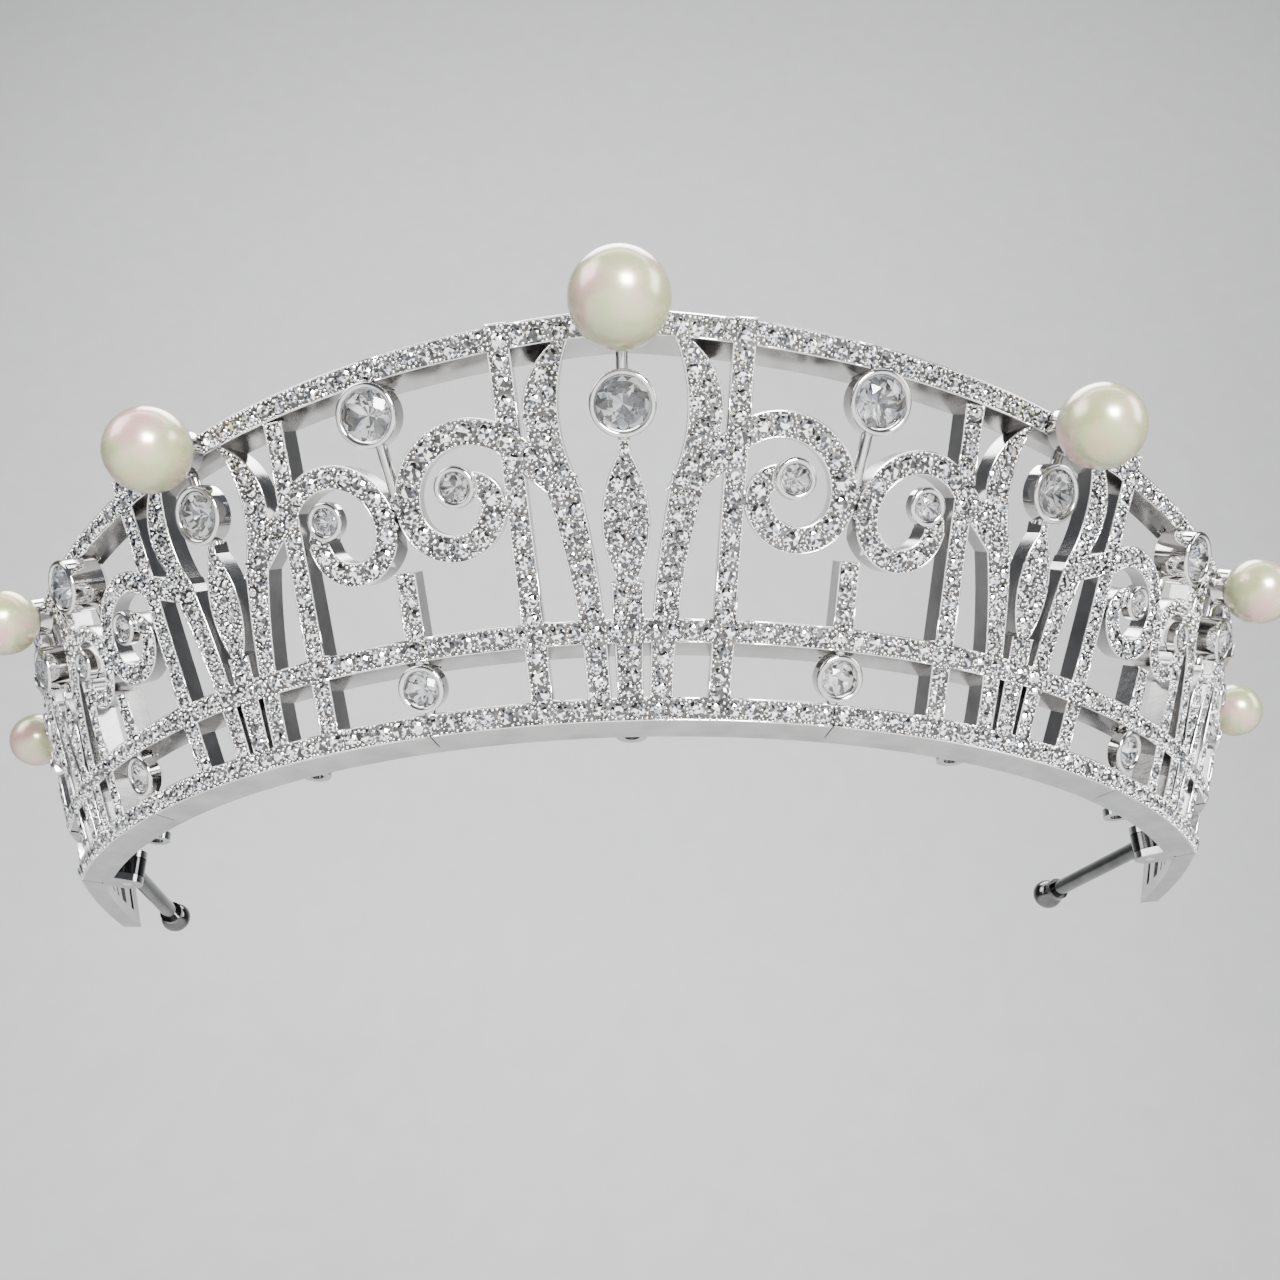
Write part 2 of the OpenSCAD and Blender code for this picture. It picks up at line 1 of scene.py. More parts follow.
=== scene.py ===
"""Looks of the bridal tiara: pave stones, cut stones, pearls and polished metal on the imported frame.

Lengths are millimetres in the frame of the part's design, whose upright axis is the head's own
axis. MM and HEAD_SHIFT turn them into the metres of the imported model.
"""

import math
import random

import bmesh
import bpy
import numpy as np
from mathutils import Matrix, Vector, noise
from mathutils.bvhtree import BVHTree
from mathutils.kdtree import KDTree


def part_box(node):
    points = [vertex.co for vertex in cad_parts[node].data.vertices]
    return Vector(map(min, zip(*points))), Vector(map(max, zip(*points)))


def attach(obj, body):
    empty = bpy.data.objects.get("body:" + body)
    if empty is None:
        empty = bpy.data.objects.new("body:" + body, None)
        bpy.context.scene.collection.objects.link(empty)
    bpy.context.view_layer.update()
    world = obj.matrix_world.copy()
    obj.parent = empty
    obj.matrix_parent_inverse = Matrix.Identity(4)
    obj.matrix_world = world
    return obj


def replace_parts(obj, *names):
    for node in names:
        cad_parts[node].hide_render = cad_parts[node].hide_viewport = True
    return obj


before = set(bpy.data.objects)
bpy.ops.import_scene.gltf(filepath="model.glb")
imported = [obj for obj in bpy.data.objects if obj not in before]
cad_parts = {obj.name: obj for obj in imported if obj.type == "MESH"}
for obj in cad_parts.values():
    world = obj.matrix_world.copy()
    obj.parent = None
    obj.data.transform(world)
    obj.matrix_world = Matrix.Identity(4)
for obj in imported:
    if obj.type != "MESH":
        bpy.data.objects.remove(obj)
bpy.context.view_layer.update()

MM = 0.001
SEED = 7

# The leaning, flaring cone that the frame follows, and its rails
CONE_RADIUS = 80
CONE_LEAN = math.radians(28.3)
CONE_FLARE = math.radians(7.2)
FRAME_HEIGHT = 30.6
RAIL_FALL = 0.05
RAIL_HEIGHT = 1.8
MID_RAIL_Z = 6
END_TURN = math.radians(14)

# The hinge pins of the rear arms: degrees from the front, and depth behind the outer face
HINGE_ANGLE = 51.6
HINGE_INSET = 5.4

# Motifs from the centre outwards, and the seams between them, in degrees from the front
MOTIF_ANGLES = [0, 22.8, 43.6, 60]
SEAM_ANGLES = [11.4, 34.448, 52.456]
END_ANGLE = 67
UPRIGHT_OFFSETS = [8.1, 8.4, 6.7, 5.8]
UPRIGHT_SPREAD = 0.088
UPRIGHT_STOP = 0.8

# Scrolls of each motif on its flat face: x, y, size, angle of the small stone at the end
SCROLLS_IN = [(14.2, 21, 1, 50), (14.8, 20.8, 0.9, 98), (10.4, 18.2, 0.75, 98), (8.2, 16.3, 0.5, 50)]
SCROLLS_OUT = [(14.2, 21, 1, 50), (14.3, 16.8, 0.9, 45), (9.8, 17.2, 0.7, 50), None]
SCROLL_RADII = (6.05, 4, 2)
SCROLL_TURN = -20
SCROLL_START = 125

# Rays that find the metal of the front: step along a rail, and the ray's ends
LINE_STEP_DEGREES = 0.05
RAY_RADII = (115, 60)
RAY_REACH = 12

# Pave work: diameters, pitch of a row in diameters, and how many random places are tried
RAIL_STONE = 1.5
UPRIGHT_STONE = 1.55
SCROLL_STONE = 1.8
ROW_PITCH = 1.16
FIELD_STONES = (1.45, 1.25, 1.05, 0.85, 0.68)
FIELD_TRIES = 7000
BEAD_SIZES = (0.42, 0.32, 0.24)
BEAD_TRIES = 16000
STONE_EDGE_SHARE = 0.93
BEAD_EDGE_SHARE = 0.9
BEAD_OVERLAP = 0.95
STONE_LIFT = 0.03
SEAM_TOLERANCE = 0.12
EDGE_SAMPLE = 0.1
CELL = 2

# Bright-cut rims along the front edges
RIM_RADIUS = 0.1
RIM_SIDES = 6
RIM_INSET = 0.75
SHORTEST_RIM = 0.6
CORNER_DEGREES = 40

# Which faces of a panel look outwards
FRONT_COSINE = 0.8
OUTWARD_DROOP = 0.35

# Camera place, direction of view and rough upward direction
CAMERA_LENS = 36.615
CAMERA_PLACE = (0.001246, -0.131797, -0.049095)
CAMERA_LOOK = (-0.00197, 0.88832, 0.45922)
CAMERA_UP = (0.025, -0.459, 0.888)

SIDES = {"left": -1, "right": 1}
PANELS = ["centre"] + [f"{side}_{i}" for i in (1, 2, 3) for side in ("left", "right")]


# ---------------------------------------------------------------- the cone and its motifs

def frame_radius(angle, height):
    """Radius of the outer face from the upright axis, at an angle in degrees and a height."""
    tangent = math.tan(CONE_FLARE)
    p = math.cos(math.radians(angle)) * math.sin(CONE_LEAN)
    q = height * math.cos(CONE_LEAN)
    qa = 1 - p * p * (1 + tangent * tangent)
    qb = -2 * p * q - 2 * tangent * p * (CONE_RADIUS + tangent * q)
    qc = height * height - q * q - (CONE_RADIUS + tangent * q) ** 2
    return (-qb + math.sqrt(qb * qb - 4 * qa * qc)) / (2 * qa)


def face_lean(angle):
    return math.atan((frame_radius(angle, 20) - frame_radius(angle, 0)) / 20)


def top_rail_z(angle):
    width = frame_radius(angle, FRAME_HEIGHT) * math.sin(math.radians(angle))
    return FRAME_HEIGHT - RAIL_FALL * width - RAIL_HEIGHT / 2


def on_face(angle):
    """Matrix from the flat face at one angle (x sideways, y up the slope, z out) to the design."""
    return (
        Matrix.Rotation(math.radians(angle), 4, "Z")
        @ Matrix.Translation((0, -frame_radius(angle, 0), 0))
        @ Matrix.Rotation(math.pi / 2 + face_lean(angle), 4, "X")
    )


def end_turn():
    """Matrix that turns an end panel in about an upright line at the last seam."""
    seam = math.radians(SEAM_ANGLES[2])
    radius = frame_radius(SEAM_ANGLES[2], 0)
    pivot = Vector((radius * math.sin(seam), -radius * math.cos(seam), 0))
    turn = Matrix.Rotation(END_TURN, 4, "Z")
    return Matrix.Translation(pivot) @ turn @ Matrix.Translation(-pivot)


HEAD_SHIFT = sum(corner.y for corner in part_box("hinge_pin_left")) / 2 / MM + (
    (frame_radius(HINGE_ANGLE, 0) - HINGE_INSET) * math.cos(math.radians(HINGE_ANGLE))
)


def to_model(point, motif, side):
    """A point or ray end of the design, on the right-hand side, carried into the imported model."""
    placed = end_turn() @ point if motif == 3 else point
    return Vector((side * placed.x, placed.y + HEAD_SHIFT, placed.z)) * MM


# ---------------------------------------------------------------- mesh helpers

def mesh_object(name, vertices, faces, material, smooth=False):
    mesh = bpy.data.meshes.new(name)
    mesh.from_pydata(vertices, [], faces)
    mesh.update()
    if smooth:
        mesh.shade_smooth()
    mesh.materials.append(material)
    piece = bpy.data.objects.new(name, mesh)
    bpy.context.scene.collection.objects.link(piece)
    return piece


def ride_as(piece, body="frame"):
    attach(piece, body)
    return piece


def welded(node):
    """A CAD node's mesh as bmesh with its split corners joined again. The CAD mesh isn't changed."""
    copy = bmesh.new()
    copy.from_mesh(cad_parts[node].data)
    bmesh.ops.remove_doubles(copy, verts=copy.verts, dist=1e-7)
    copy.normal_update()
    return copy


def islands(copy):
    """The separate solids of a mesh, each as its list of vertices, always in the mesh's own order."""
    seen = set()
    found = []
    for first in copy.verts:
        if first in seen:
            continue
        seen.add(first)
        stack = [first]
        island = []
        while stack:
            vertex = stack.pop()
            island.append(vertex)
            for edge in vertex.link_edges:
                other = edge.other_vert(vertex)
                if other not in seen:
                    seen.add(other)
                    stack.append(other)
        found.append(island)
    return found


def frame_from(centre, axis, turn=0.0):
    """Matrix with its z along axis, turned about it by an angle."""
    return (
        Matrix.Translation(centre)
        @ axis.to_track_quat("Z", "Y").to_matrix().to_4x4()
        @ Matrix.Rotation(turn, 4, "Z")
    )


# ---------------------------------------------------------------- cut stones

def ring(radius, height, count, turn=0.0):
    return [
        Vector((radius * math.cos(a), radius * math.sin(a), height))
        for a in (turn + 2 * math.pi * j / count for j in range(count))
    ]


def brilliant_cut(table=0.56, crown=0.17, girdle=0.03, pavilion=0.1):
    """A round cut stone of diameter 1: table, star, kite and girdle facets. Girdle top at z = 0."""
    step = math.pi / 8
    points = [Vector((0, 0, crown - 0.012))]
    points += ring(table / 2, crown, 8, step)
    points += ring((table / 2 + 0.5) / 2 + 0.02, crown * 0.55, 8)
    points += ring(0.5, 0, 16)
    points += ring(0.5, -girdle, 16)
    points.append(Vector((0, 0, -girdle - pavilion)))
    inner, middle, outer, lower, culet = 1, 9, 17, 33, 49
    faces = []
    for j in range(8):
        k = (j + 1) % 8
        faces.append((0, inner + j, inner + k))
        faces.append((inner + j, middle + k, inner + k))
        edge = outer + 2 * j
        faces.append((middle + j, edge, edge + 1))
        faces.append((middle + j, edge + 1, inner + j))
        following = outer + (2 * j + 2) % 16
        faces.append((middle + k, edge + 1, following))
        faces.append((middle + k, inner + j, edge + 1))
    for j in range(16):
        k = (j + 1) % 16
        faces.append((outer + j, lower + j, lower + k, outer + k))
        faces.append((lower + k, lower + j, culet))
    return points, faces


def full_brilliant():
    """A large round stone of diameter 1. Crown facets come first, then the girdle and pavilion."""
    upper, lower, wide, narrow, culet = 17, 33, 49, 65, 81
    points, faces = brilliant_cut(crown=0.15)
    crown = [f for f in faces if max(f) < lower]
    points = points[:wide] + ring(0.36, -0.15, 16, math.pi / 16) + ring(0.2, -0.27, 16)
    points.append(Vector((0, 0, -0.4)))
    below = []
    for j in range(16):
        k = (j + 1) % 16
        below.append((upper + j, lower + j, lower + k, upper + k))
    for j in range(16):
        k = (j + 1) % 16
        below += [(lower + k, lower + j, wide + j), (lower + k, wide + j, wide + k)]
        below += [(wide + k, wide + j, narrow + k), (wide + j, narrow + j, narrow + k)]
        below.append((narrow + k, narrow + j, culet))
    return points, crown + below


# Faces of full_brilliant above its girdle
FULL_CROWN_FACES = 48


def add_copies(name, shape, places, material, facet_seed=None):
    """One mesh of many copies of a shape, each at its own matrix. Facets get their own painted
    brightness.
    """
    points, faces = shape
    vertices = []
    polygons = []
    for place in places:
        start = len(vertices)
        vertices += [place @ p for p in points]
        polygons += [tuple(start + j for j in face) for face in faces]
    piece = mesh_object(name, vertices, polygons, material, smooth=facet_seed is None)
    if facet_seed is not None:
        brightness(piece.data, facet_seed)
    return piece


def brightness(mesh, seed):
    """A random brightness for every facet, painted as the light that comes back out of the stone."""
    chance = random.Random(seed)
    layer = mesh.color_attributes.new("facet", "FLOAT_COLOR", "CORNER")
    for polygon in mesh.polygons:
        value = chance.random()
        for corner in polygon.loop_indices:
            layer.data[corner].color = (value, value, value, 1)


# ---------------------------------------------------------------- materials

def new_material(name):
    material = bpy.data.materials.new(name)
    material.use_nodes = True
    nodes = material.node_tree.nodes
    return material, nodes, material.node_tree.links, nodes["Principled BSDF"]


def noise_node(nodes, links, scale, detail=4, stretch=None):
    """A noise texture in the model's own coordinates."""
    place = nodes.new("ShaderNodeTexCoord")
    texture = nodes.new("ShaderNodeTexNoise")
    texture.inputs["Scale"].default_value = scale
    texture.inputs["Detail"].default_value = detail
    source = place.outputs["Object"]
    if stretch:
        mapping = nodes.new("ShaderNodeMapping")
        mapping.inputs["Scale"].default_value = stretch
        links.new(source, mapping.inputs["Vector"])
        source = mapping.outputs["Vector"]
    links.new(source, texture.inputs["Vector"])
    return texture.outputs["Fac"]


def ramp(nodes, links, source, stops):
    """A colour ramp of (position, colour) stops driven by source."""
    node = nodes.new("ShaderNodeValToRGB")
    elements = node.color_ramp.elements
    while len(elements) < len(stops):
        elements.new(0.5)
    for element, (position, colour) in zip(elements, stops):
        element.position = position
        element.color = (*colour, 1)
    links.new(source, node.inputs["Fac"])
    return node.outputs["Color"]


def spread(nodes, links, source, low, high):
    """Source, from 0 to 1, spread between two values."""
    node = nodes.new("ShaderNodeMapRange")
    node.inputs["To Min"].default_value = low
    node.inputs["To Max"].default_value = high
    links.new(source, node.inputs["Value"])
    return node.outputs["Result"]


def math_node(nodes, links, operation, source, value):
    node = nodes.new("ShaderNodeMath")
    node.operation = operation
    links.new(source, node.inputs[0])
    node.inputs[1].default_value = value
    return node.outputs["Value"]


def add_bump(nodes, links, shader, source, strength, distance):
    node = nodes.new("ShaderNodeBump")
    node.inputs["Strength"].default_value = strength
    node.inputs["Distance"].default_value = distance
    links.new(source, node.inputs["Height"])
    links.new(node.outputs["Normal"], shader.inputs["Normal"])


def grey(value, warmth=0.0):
    return (value * (1 + warmth), value, value * (1 - warmth))


def metal(name, dark, light, rough, scratch=0.04):
    """Polished white metal: soft cloudy tone, uneven polish and fine polishing marks."""
    material, nodes, links, shader = new_material(name)
    shader.inputs["Metallic"].default_value = 1
    cloud = noise_node(nodes, links, 260, 3)
    links.new(ramp(nodes, links, cloud, [(0.3, dark), (0.7, light)]), shader.inputs["Base Color"])
    marks = noise_node(nodes, links, 900, 5, (1, 1, 5))
    links.new(spread(nodes, links, marks, *rough), shader.inputs["Roughness"])
    add_bump(nodes, links, shader, marks, scratch, 0.00004)
    return material


def pave_ground(name):
    """Polished cast metal, rougher and darker than the plain silver, whose outward faces, between the
    set stones, carry painted shade: a near-black grey in place of the shade there.
    """
    material, nodes, links, shader = new_material(name)
    shader.inputs["Metallic"].default_value = 1
    place = nodes.new("ShaderNodeTexCoord")
    split = nodes.new("ShaderNodeSeparateXYZ")
    links.new(place.outputs["Object"], split.inputs["Vector"])
    depth = math_node(nodes, links, "SUBTRACT", split.outputs["Y"], HEAD_SHIFT * MM)
    droop = math_node(nodes, links, "MULTIPLY", depth, OUTWARD_DROOP)
    join = nodes.new("ShaderNodeCombineXYZ")
    links.new(split.outputs["X"], join.inputs["X"])
    links.new(depth, join.inputs["Y"])
    links.new(droop, join.inputs["Z"])
    unit = nodes.new("ShaderNodeVectorMath")
    unit.operation = "NORMALIZE"
    links.new(join.outputs["Vector"], unit.inputs[0])
    surface = nodes.new("ShaderNodeNewGeometry")
    facing = nodes.new("ShaderNodeVectorMath")
    facing.operation = "DOT_PRODUCT"
    links.new(unit.outputs["Vector"], facing.inputs[0])
    links.new(surface.outputs["Normal"], facing.inputs[1])
    front = math_node(nodes, links, "GREATER_THAN", facing.outputs["Value"], FRONT_COSINE)
    grain = noise_node(nodes, links, 700, 4)
    # Painted shade: the outward faces between the stones are painted near black, with a faint random
    # grain
    painted_shade = ramp(nodes, links, grain, [(0.35, grey(0.05, 0.04)), (0.65, grey(0.18, 0.04))])
    cloud = noise_node(nodes, links, 260, 3)
    polish = ramp(nodes, links, cloud, [(0.3, grey(0.3, 0.02)), (0.7, grey(0.42, 0.02))])
    mix = nodes.new("ShaderNodeMix")
    mix.data_type = "RGBA"
    links.new(front, mix.inputs[0])
    links.new(polish, mix.inputs[6])
    links.new(painted_shade, mix.inputs[7])
    links.new(mix.outputs[2], shader.inputs["Base Color"])
    marks = noise_node(nodes, links, 900, 5, (1, 1, 5))
    links.new(spread(nodes, links, marks, 0.1, 0.26), shader.inputs["Roughness"])
    add_bump(nodes, links, shader, marks, 0.06, 0.00004)
    return material


def facet_material(name, dark, light, rough, metallic):
    """Cut stone: every facet is painted with its own share of light, as bright glints and dark facets,
    with a trace of cold and warm.
    """
    material, nodes, links, shader = new_material(name)
    facet = nodes.new("ShaderNodeVertexColor")
    facet.layer_name = "facet"
    # Painted light: the random facet value becomes dark facets, cold blue and warm white painted
    # glints
    tone = ramp(
        nodes, links, facet.outputs["Color"],
        [
            (0.0, dark), (0.42, grey(0.09)), (0.54, (0.5, 0.56, 0.68)),
            (0.62, light), (1.0, (1, 0.96, 0.9)),
        ],
    )
    links.new(tone, shader.inputs["Base Color"])
    grain = noise_node(nodes, links, 3000, 2)
    links.new(spread(nodes, links, grain, *rough), shader.inputs["Roughness"])
    shader.inputs["Metallic"].default_value = metallic
    shader.inputs["IOR"].default_value = 2.4
    shader.inputs["Coat Weight"].default_value = 0.4
    shader.inputs["Coat Roughness"].default_value = 0.02
    shader.inputs["Coat IOR"].default_value = 1.6
    return material


def clear_material():
    """The clear crown of a large stone."""
    material, nodes, links, shader = new_material("clear_crown")
    tone = noise_node(nodes, links, 500, 2)
    colour = ramp(nodes, links, tone, [(0.3, (0.96, 0.98, 1)), (0.7, (1, 1, 1))])
    links.new(colour, shader.inputs["Base Color"])
    shader.inputs["Transmission Weight"].default_value = 1
    shader.inputs["Roughness"].default_value = 0
    shader.inputs["IOR"].default_value = 1.7
    return material


def pearl_material():
    """Nacre: ivory with drifting rose and green, faint growth bands and a deep soft gloss."""
    material, nodes, links, shader = new_material("pearl_nacre")
    drift = noise_node(nodes, links, 190, 3)
    colour = ramp(
        nodes, links, drift,
        [
            (0.36, (0.40, 0.33, 0.19)), (0.46, (0.32, 0.35, 0.18)),
            (0.54, (0.40, 0.36, 0.24)), (0.64, (0.46, 0.28, 0.26)),
        ],
    )
    links.new(colour, shader.inputs["Base Color"])
    bands = noise_node(nodes, links, 420, 6, (1, 1, 3))
    links.new(spread(nodes, links, bands, 0.18, 0.34), shader.inputs["Roughness"])
    add_bump(nodes, links, shader, bands, 0.2, 0.00006)
    shader.inputs["Metallic"].default_value = 0.35
    shader.inputs["Subsurface Weight"].default_value = 0.1
    shader.inputs["Subsurface Radius"].default_value = (1.0, 0.8, 0.7)
    shader.inputs["Subsurface Scale"].default_value = 0.0015
    shader.inputs["Coat Weight"].default_value = 0.5
    shader.inputs["Coat Roughness"].default_value = 0.05
    shader.inputs["Thin Film Thickness"].default_value = 420
    shader.inputs["Thin Film IOR"].default_value = 1.6
    return material


def matte_material(name, dark, light):
    """The floor and backdrop: pale paper with a faint tooth."""
    material, nodes, links, shader = new_material(name)
    tooth = noise_node(nodes, links, 40, 6)
    links.new(ramp(nodes, links, tooth, [(0.3, dark), (0.7, light)]), shader.inputs["Base Color"])
    shader.inputs["Roughness"].default_value = 0.9
    return material


SILVER = metal("polished_silver", grey(0.56, 0.02), grey(0.7, 0.02), (0.04, 0.12))
# Bright-cut rims and grain beads: the same silver painted lighter, a painted highlight on the edges
PAINTED_HIGHLIGHT_SILVER = metal("bright_cut_silver", grey(0.72, 0.01), grey(0.84, 0.01), (0.05, 0.12), 0.02)
# Panel metal, with painted shade on its outward faces between the stones
PAVE_GROUND_PAINTED_SHADE = pave_ground("pave_ground_silver")
# Base band and sewing loops: the same silver painted darker, a painted dark reflection
PAINTED_DARK_BAND_SILVER = metal("band_silver", grey(0.26), grey(0.4), (0.05, 0.12))
# Back arms: polished silver painted near black, a painted dark reflection of the dark surroundings
PAINTED_DARK_REFLECTION_SILVER = metal("dark_polished_silver", grey(0.06), grey(0.12), (0.04, 0.1), 0.02)
# Stones whose facet colours are painted light: painted glints and painted dark facets
PAVE_PAINTED_FACETS = facet_material("pave_stone", grey(0.03), grey(1.0), (0.03, 0.1), 0.9)
GEM_PAINTED_FACETS = facet_material("cut_stone", grey(0.04), grey(1.0), (0.06, 0.14), 0.35)
PEARL = pearl_material()
CLEAR = clear_material()


# ---------------------------------------------------------------- pave work on the panels

class Panel:
    """The front face of one cast panel: where its metal is, and how far its edges are."""

    def __init__(self, name):
        self.name = name
        self.mesh = welded("panel_" + name)
        self.front = [f for f in self.mesh.faces if self.faces_out(f)]
        chosen = set(self.front)
        self.edges = [
            e for e in self.mesh.edges
            if sum(f in chosen for f in e.link_faces) == 1 and not self.on_seam(e)
        ]
        samples = [
            e.verts[0].co.lerp(e.verts[1].co, share)
            for e in self.edges
            for share in self.shares(e)
        ]
        self.edge_tree = KDTree(len(samples))
        for j, point in enumerate(samples):
            self.edge_tree.insert(point, j)
        self.edge_tree.balance()
        self.tree = BVHTree.FromBMesh(self.mesh)
        self.areas = [f.calc_area() for f in self.front]
        self.stones = []
        self.beads = []

    @staticmethod
    def shares(edge):
        steps = max(1, int(edge.calc_length() / (EDGE_SAMPLE * MM)))
        return [j / steps for j in range(steps + 1)]

    @staticmethod
    def outward(point):
        """Rough outward direction of the frame's face: away from the leaning axis."""
        depth = point.y - HEAD_SHIFT * MM
        return Vector((point.x, depth, -abs(depth) * OUTWARD_DROOP)).normalized()

    def faces_out(self, face):
        return face.normal.dot(self.outward(face.calc_center_median())) > FRONT_COSINE

    @staticmethod
    def on_seam(edge):
        centre = (edge.verts[0].co + edge.verts[1].co) / 2
        angle = math.degrees(math.atan2(abs(centre.x), HEAD_SHIFT * MM - centre.y))
        return any(abs(angle - seam) < SEAM_TOLERANCE for seam in SEAM_ANGLES)

    def room(self, point):
        return self.edge_tree.find(point)[2]

    def scatter(self, count, chance):
        """Random points on the front face, with their normals."""
        for face in chance.choices(self.front, self.areas, k=count):
            corners = [v.co for v in face.verts]
            a, b = chance.random(), chance.random()
            if a + b > 1:
                a, b = 1 - a, 1 - b
            place = corners[0] + a * (corners[1] - corners[0]) + b * (corners[2] - corners[0])
            yield place, face.normal


class Neighbours:
    """Which round things are already set near a point."""

    def __init__(self, cell):
        self.cell = cell
        self.grid = {}

    def key(self, point):
        return tuple(int(math.floor(c / self.cell)) for c in point)

    def clear(self, point, radius, overlap):
        x, y, z = self.key(point)
        for i in (x - 1, x, x + 1):
            for j in (y - 1, y, y + 1):
                for k in (z - 1, z, z + 1):
                    for other, size in self.grid.get((i, j, k), ()):
                        if (point - other).length < (radius + size) * overlap:
                            return False
        return True

    def add(self, point, radius):
        self.grid.setdefault(self.key(point), []).append((point, radius))


def set_stone(panel, taken, point, normal, size):
    """Sets one stone if it fits on the metal and clear of its neighbours."""
    radius = size * MM / 2
    if panel.room(point) < radius * STONE_EDGE_SHARE or not taken.clear(point, radius, 1):
        return False
    taken.add(point.copy(), radius)
    panel.stones.append((point.copy(), normal.copy(), size * MM))
    return True


def set_row(panels, taken, line, size, pitch):
    """Stones at equal steps along a line, given as (start point, direction) rays on to the face."""
    travelled = pitch
    last = None
    for start, direction in line:
        for panel in panels:
            hit, normal, _, _ = panel.tree.ray_cast(start, direction)
            if hit is None or normal.dot(panel.outward(hit)) < FRONT_COSINE:
                continue
            travelled += (hit - last).length / MM if last is not None else 0
            last = hit
            if travelled >= pitch and set_stone(panel, taken, hit, normal, size):
                travelled = 0
            break


def face_line(motif, side, points):
    """Rays on to the sloping face of a motif through its own flat points."""
    place = on_face(MOTIF_ANGLES[motif])
    for x, y in points:
        start = to_model(place @ Vector((x, y, RAY_REACH)), motif, side)
        end = to_model(place @ Vector((x, y, -RAY_REACH)), motif, side)
        yield start, (end - start).normalized()


def rail_line(first, last, height_at):
    """Level rays towards the head's axis between two angles, in small steps."""
    steps = int((last - first) / LINE_STEP_DEGREES)
    for j in range(steps + 1):
        angle = first + (last - first) * j / steps
        motif = 3 if abs(angle) > SEAM_ANGLES[2] else 0
        turn = math.radians(abs(angle))
        height = height_at(abs(angle))
        side = -1 if angle < 0 else 1
        ends = [Vector((r * math.sin(turn), -r * math.cos(turn), height)) for r in RAY_RADII]
        start, end = (to_model(p, motif, side) for p in ends)
        yield start, (end - start).normalized()


def arc_points(x, y, radius, first, last):
    steps = max(8, int(abs(last - first) * radius / 6))
    for j in range(steps + 1):
        angle = math.radians(first + (last - first) * j / steps)
        yield x + radius * math.cos(angle), y + radius * math.sin(angle)


def scroll_points(scroll):
    """The middle line of a scroll, from its branch to its small stone."""
    x, y, size, eye = scroll
    big, middle, small = (size * r for r in SCROLL_RADII)
    turn = math.radians(SCROLL_TURN)
    mx, my = x + (big - middle) * math.cos(turn), y + (big - middle) * math.sin(turn)
    sx, sy = mx + small - middle, my
    yield from arc_points(x, y, big, SCROLL_START, SCROLL_TURN)
    yield from arc_points(mx, my, middle, SCROLL_TURN, -180)
    yield from arc_points(sx, sy, small, 180, eye + 12)


def upright_points(motif):
    """The middle line of an upright, from the lower rail to just above the top rail."""
    angle = MOTIF_ANGLES[motif]
    top = (top_rail_z(angle) + RAIL_HEIGHT / 2 - UPRIGHT_STOP) / math.cos(face_lean(angle))
    steps = 300
    for j in range(steps + 1):
        v = top * j / steps
        yield UPRIGHT_OFFSETS[motif] + UPRIGHT_SPREAD * v, v


def set_pave(panels):
    """Rows along rails, scrolls and uprights first, then fields of stones, then grain beads."""
    taken = Neighbours(CELL * MM)
    for height_at in (
        top_rail_z,
        lambda angle: RAIL_HEIGHT / 2,
        lambda angle: MID_RAIL_Z + RAIL_HEIGHT / 2,
    ):
        row = rail_line(-END_ANGLE, END_ANGLE, height_at)
        set_row(panels, taken, row, RAIL_STONE, RAIL_STONE * ROW_PITCH)
    for motif in range(4):
        for side in SIDES.values():
            for scrolls, flip in ((SCROLLS_IN, -1), (SCROLLS_OUT, 1)):
                scroll = scrolls[motif]
                if scroll and (motif or flip > 0):
                    size = SCROLL_STONE * scroll[2]
                    points = [(flip * x, y) for x, y in scroll_points(scroll)]
                    set_row(panels, taken, face_line(motif, side, points), size, size * ROW_PITCH)
            for flip in (-1, 1) if motif else (1,):
                points = [(flip * x, y) for x, y in upright_points(motif)]
                row = face_line(motif, side, points)
                set_row(panels, taken, row, UPRIGHT_STONE, UPRIGHT_STONE * ROW_PITCH)
    chance = random.Random(SEED)
    for panel in panels:
        for size in FIELD_STONES:
            for point, normal in panel.scatter(FIELD_TRIES, chance):
                set_stone(panel, taken, point, normal, size)
        for size in BEAD_SIZES:
            radius = size * MM / 2
            for point, normal in panel.scatter(BEAD_TRIES, chance):
                inside = panel.room(point) > radius * BEAD_EDGE_SHARE
                if inside and taken.clear(point, radius, BEAD_OVERLAP):
                    taken.add(point.copy(), radius)
                    panel.beads.append((point.copy(), normal.copy(), size * MM))


def bead_shape():
    """A low rounded grain of diameter 1 that stands on the metal."""
    points = [Vector((0, 0, 0.42))] + ring(0.3, 0.32, 6)
    points += ring(0.48, 0.05, 6, math.pi / 6) + ring(0.48, -0.1, 6)
    faces = [(0, 1 + j, 1 + (j + 1) % 6) for j in range(6)]
    for j in range(6):
        k = (j + 1) % 6
        faces.append((1 + j, 7 + j, 1 + k))
        faces.append((1 + k, 7 + j, 7 + k))
        faces.append((7 + j, 13 + j, 13 + k))
        faces.append((7 + j, 13 + k, 7 + k))
    faces.append(tuple(range(18, 12, -1)))
    return points, faces


